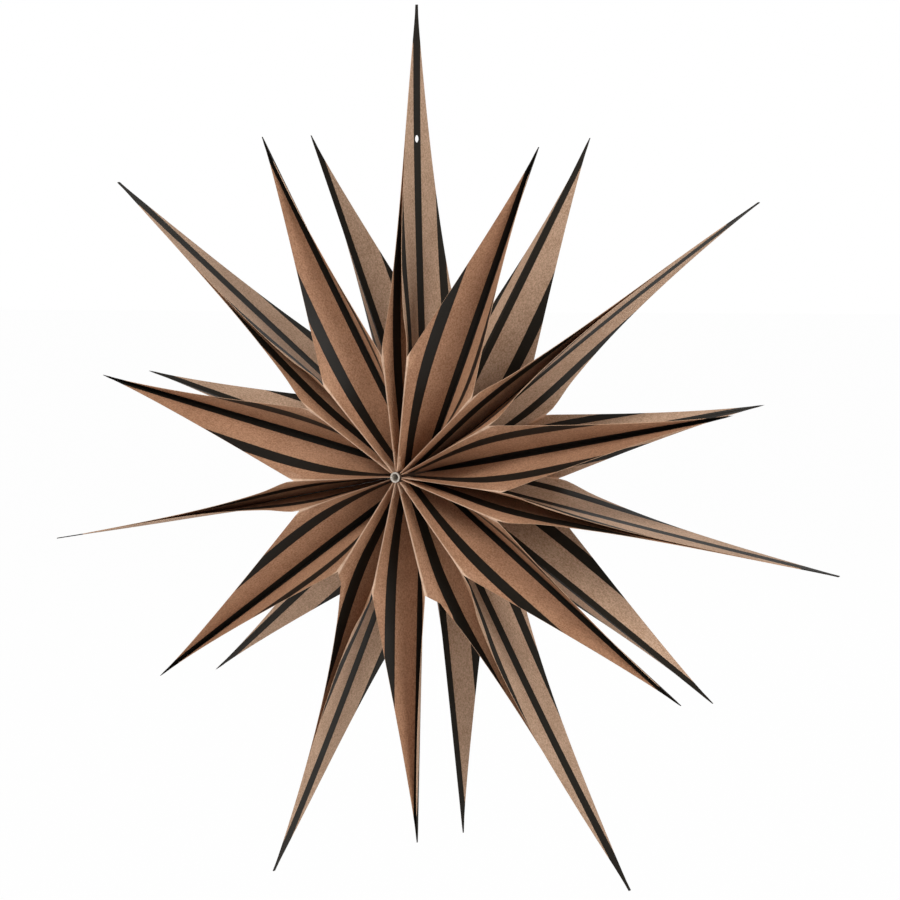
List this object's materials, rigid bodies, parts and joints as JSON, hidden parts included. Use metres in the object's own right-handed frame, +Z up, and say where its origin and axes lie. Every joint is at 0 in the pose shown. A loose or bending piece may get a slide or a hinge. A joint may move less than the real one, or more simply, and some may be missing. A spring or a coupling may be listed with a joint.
{
  "type": "folded paper star",
  "caption": "Hanging star of folded, striped kraft paper bags glued side by side round a thin core tube, their open ends cut to long and short points.",
  "frame": {"origin": "middle of the core tube, on the star's axis, halfway between front and back", "axes": "+Y along the star's axis from front to back, +Z up to the hung spike, +X to the right of the front"},
  "size_m": [0.5997, 0.0776, 0.5804],
  "materials": {
    "kraft_paper": "satin kraft with dark printed stripes",
    "core_paper": "matt"
  },
  "bodies": {
    "root": {"bag_1": "kraft_paper", "bag_2": "kraft_paper", "bag_3": "kraft_paper", "bag_4": "kraft_paper", "bag_5": "kraft_paper", "bag_6": "kraft_paper", "bag_7": "kraft_paper", "core_tube": "core_paper"}
  },
  "joints": []
}
